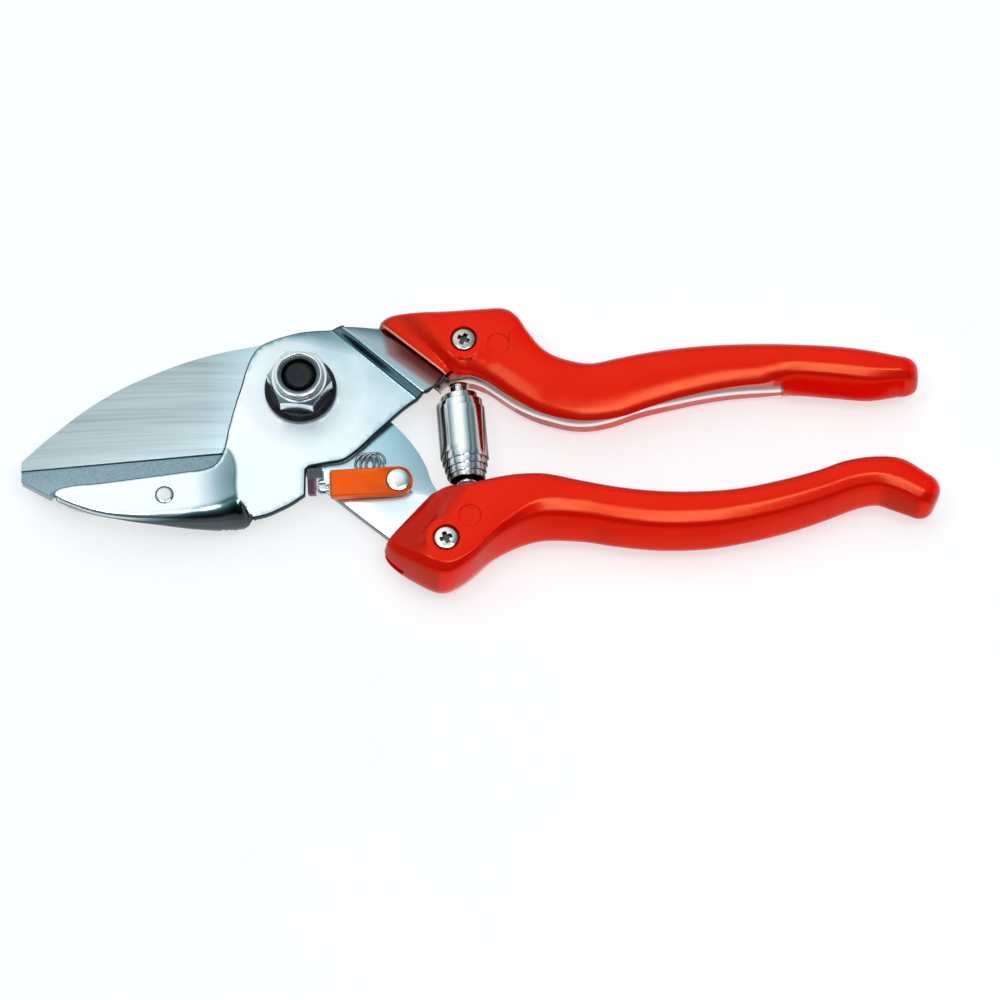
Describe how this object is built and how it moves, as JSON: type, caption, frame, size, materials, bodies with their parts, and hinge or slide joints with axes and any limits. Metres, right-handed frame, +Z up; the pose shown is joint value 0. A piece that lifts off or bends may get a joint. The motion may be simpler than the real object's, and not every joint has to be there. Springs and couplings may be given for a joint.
{
  "type": "pruning shears",
  "caption": "Hand pruning shears with a straight blade that closes on a flat anvil, curved plastic grips, a buffer spring between them and a side latch.",
  "frame": {"origin": "on the pivot axis, at the underside of the bolt head, which is the plane that the tool lies on", "axes": "+X along the tool towards the handles' ends, +Y towards the upper handle, +Z up through the nut"},
  "size_m": [0.2095, 0.0695, 0.0214],
  "materials": {
    "chromed_steel": "bright satin chrome on pressed steel",
    "ground_steel": "ground lengthways",
    "cast_anvil": "fine grainy cast surface",
    "blackened_steel": "black oxide, satin",
    "dark_nylon": "satin",
    "nickelled_steel": "bright nickel",
    "bronze": "turned",
    "grip_plastic": "glossy orange red",
    "latch_plastic": "semi-gloss orange"
  },
  "bodies": {
    "anvil_handle": {"anvil_frame": "chromed_steel", "anvil": "cast_anvil", "anvil_rivet": "chromed_steel", "pivot_bolt": "blackened_steel", "pivot_washer": "blackened_steel", "back_washer": "blackened_steel", "pivot_nut": "chromed_steel", "nut_insert": "dark_nylon", "upper_grip": "grip_plastic", "upper_grip_screw": "nickelled_steel", "upper_grip_nut": "nickelled_steel", "upper_spring_seat": "nickelled_steel", "buffer_spring": "nickelled_steel"},
    "blade_handle": {"blade": "ground_steel", "pivot_bush": "bronze", "lower_handle_core": "chromed_steel", "tang_rivet_front": "nickelled_steel", "tang_rivet_rear": "nickelled_steel", "lower_grip": "grip_plastic", "lower_grip_screw": "nickelled_steel", "lower_grip_nut": "nickelled_steel", "lower_spring_seat": "nickelled_steel", "latch_rivet": "nickelled_steel", "latch_spring": "nickelled_steel"},
    "latch": {"latch_lever": "chromed_steel", "latch_cover": "latch_plastic"}
  },
  "joints": [
    {"name": "pivot", "type": "hinge", "parent": "anvil_handle", "child": "blade_handle", "pos_m": [0, 0, 0.0079], "axis": [0, 0, -1], "range_deg": [0, 30], "deforming": ["buffer_spring"]},
    {"name": "latch_pivot", "type": "hinge", "parent": "blade_handle", "child": "latch", "pos_m": [0.0228, -0.023, 0.011], "axis": [0, 0, 1], "range_deg": [0, 60]}
  ],
  "couplings": [
    {"joint": "latch_pivot", "follows": "pivot", "ratio": 2}
  ]
}
